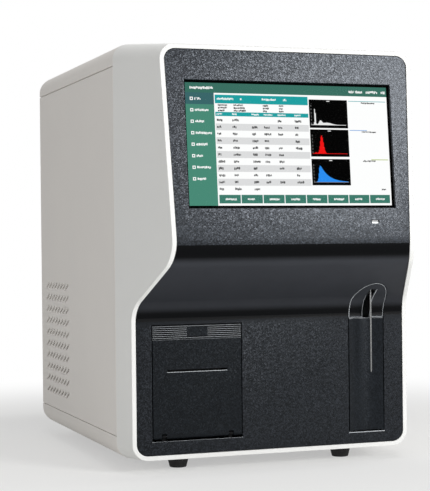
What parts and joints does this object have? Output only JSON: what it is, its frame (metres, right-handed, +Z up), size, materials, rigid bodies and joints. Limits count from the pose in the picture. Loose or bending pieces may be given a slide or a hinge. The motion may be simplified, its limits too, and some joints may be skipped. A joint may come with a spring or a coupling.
{
  "type": "veterinary hematology analyzer",
  "caption": "Bench-top blood cell analyzer: touch screen on an overhanging S-curved front, lifting sample probe before a tall start key, thermal printer behind a drop-down door.",
  "frame": {"origin": "under the middle of the whole box, on the bench", "axes": "+Z up, front face towards -Y, +X to the right as seen from the front"},
  "size_m": [0.3304, 0.4472, 0.4435],
  "materials": {
    "cover_paint": "fine textured paint",
    "frame_plastic": "satin moulded",
    "panel_black": "fine grained",
    "works_black": "moulded",
    "foot_rubber": "matt",
    "sheet_steel": "zinc plated",
    "shaft_steel": "ground",
    "screen_glass": "polished",
    "display": "lit",
    "lamp_lens": "diffuse",
    "paper": "matt paper",
    "clear_plastic": "clear",
    "white_plastic": "machined",
    "alloy": "mill finish",
    "board_green": "solder mask"
  },
  "bodies": {
    "housing": {"base_tray": "cover_paint", "top_cover": "cover_paint", "left_side_panel": "cover_paint", "right_side_panel": "cover_paint", "rear_panel": "cover_paint", "connector_panel": "cover_paint", "front_frame": "frame_plastic", "front_panel": "panel_black", "probe_shroud": "panel_black", "rubber_feet": "foot_rubber", "rear_screws": "sheet_steel", "chassis_plate": "sheet_steel", "touch_glass": "screen_glass", "lcd_module": "display", "display_bracket": "sheet_steel", "status_light": "lamp_lens", "printer_case": "works_black", "door_hinge_pin": "shaft_steel", "print_head": "alloy", "key_bracket": "sheet_steel", "key_switch": "works_black", "lift_bracket": "sheet_steel", "lift_rods": "shaft_steel", "lift_motor": "works_black", "probe_wash_block": "white_plastic", "bath_bracket": "sheet_steel", "wbc_bath": "clear_plastic", "rbc_bath": "clear_plastic", "syringe_frame": "sheet_steel", "syringe_barrels": "clear_plastic", "syringe_motor": "works_black", "valve_manifold": "white_plastic", "solenoid_valves": "works_black", "vacuum_bottle": "clear_plastic", "diaphragm_pump": "works_black", "power_supply": "alloy", "main_board": "board_green", "board_standoffs": "shaft_steel", "data_ports": "sheet_steel", "port_plate": "sheet_steel", "power_inlet": "works_black", "inlet_blades": "shaft_steel", "switch_housing": "works_black", "fan_frame": "works_black", "fan_guard": "shaft_steel", "reagent_fittings": "shaft_steel"},
    "door": {"printer_door": "panel_black"},
    "release": {"release_bar": "panel_black"},
    "platen": {"platen_roller": "foot_rubber"},
    "paper": {"paper_roll": "paper"},
    "key": {"aspirate_key": "panel_black"},
    "probe": {"sample_probe": "shaft_steel", "probe_carriage": "works_black"},
    "lift_drive": {"lift_screw": "shaft_steel"},
    "plunger": {"syringe_plungers": "shaft_steel"},
    "syringe_drive": {"syringe_screw": "shaft_steel"},
    "fan": {"fan_rotor": "works_black"},
    "rocker": {"power_rocker": "works_black"}
  },
  "joints": [
    {"name": "door_swing", "type": "hinge", "parent": "housing", "child": "door", "pos_m": [-0.0846, -0.15388, 0.0375], "axis": [1, 0, 0], "range_deg": [0, 88]},
    {"name": "release_press", "type": "slide", "parent": "housing", "child": "release", "axis": [0, 1, 0], "range_m": [0, 0.002], "stiffness_N_per_m": 600, "springref_m": -0.001},
    {"name": "platen_spin", "type": "hinge", "parent": "housing", "child": "platen", "pos_m": [-0.0846, -0.14138, 0.1052], "axis": [1, 0, 0], "continuous": true},
    {"name": "paper_spin", "type": "hinge", "parent": "housing", "child": "paper", "pos_m": [-0.0846, -0.11988, 0.0518], "axis": [1, 0, 0], "continuous": true},
    {"name": "key_press", "type": "slide", "parent": "housing", "child": "key", "axis": [0, 1, 0], "range_m": [0, 0.0025], "stiffness_N_per_m": 500, "springref_m": -0.001},
    {"name": "probe_lift", "type": "slide", "parent": "housing", "child": "probe", "axis": [0, 0, 1], "range_m": [0, 0.062]},
    {"name": "lift_screw_spin", "type": "hinge", "parent": "housing", "child": "lift_drive", "pos_m": [0.10824, -0.13298, 0.25], "axis": [0, 0, 1], "range_deg": [0, 2800]},
    {"name": "plunger_slide", "type": "slide", "parent": "housing", "child": "plunger", "axis": [0, 0, 1], "range_m": [0, 0.04]},
    {"name": "syringe_screw_spin", "type": "hinge", "parent": "housing", "child": "syringe_drive", "pos_m": [0.00524, -0.08538, 0.23], "axis": [0, 0, 1], "range_deg": [0, 1810]},
    {"name": "fan_spin", "type": "hinge", "parent": "housing", "child": "fan", "pos_m": [0.0852, 0.19462, 0.325], "axis": [0, 1, 0], "continuous": true},
    {"name": "rocker_tip", "type": "hinge", "parent": "housing", "child": "rocker", "pos_m": [-0.0572, 0.20662, 0.076], "axis": [1, 0, 0], "range_deg": [0, 16]}
  ],
  "couplings": [
    {"joint": "lift_screw_spin", "follows": "probe_lift", "rad_per_m": 785.4},
    {"joint": "syringe_screw_spin", "follows": "plunger_slide", "rad_per_m": 785.4}
  ]
}
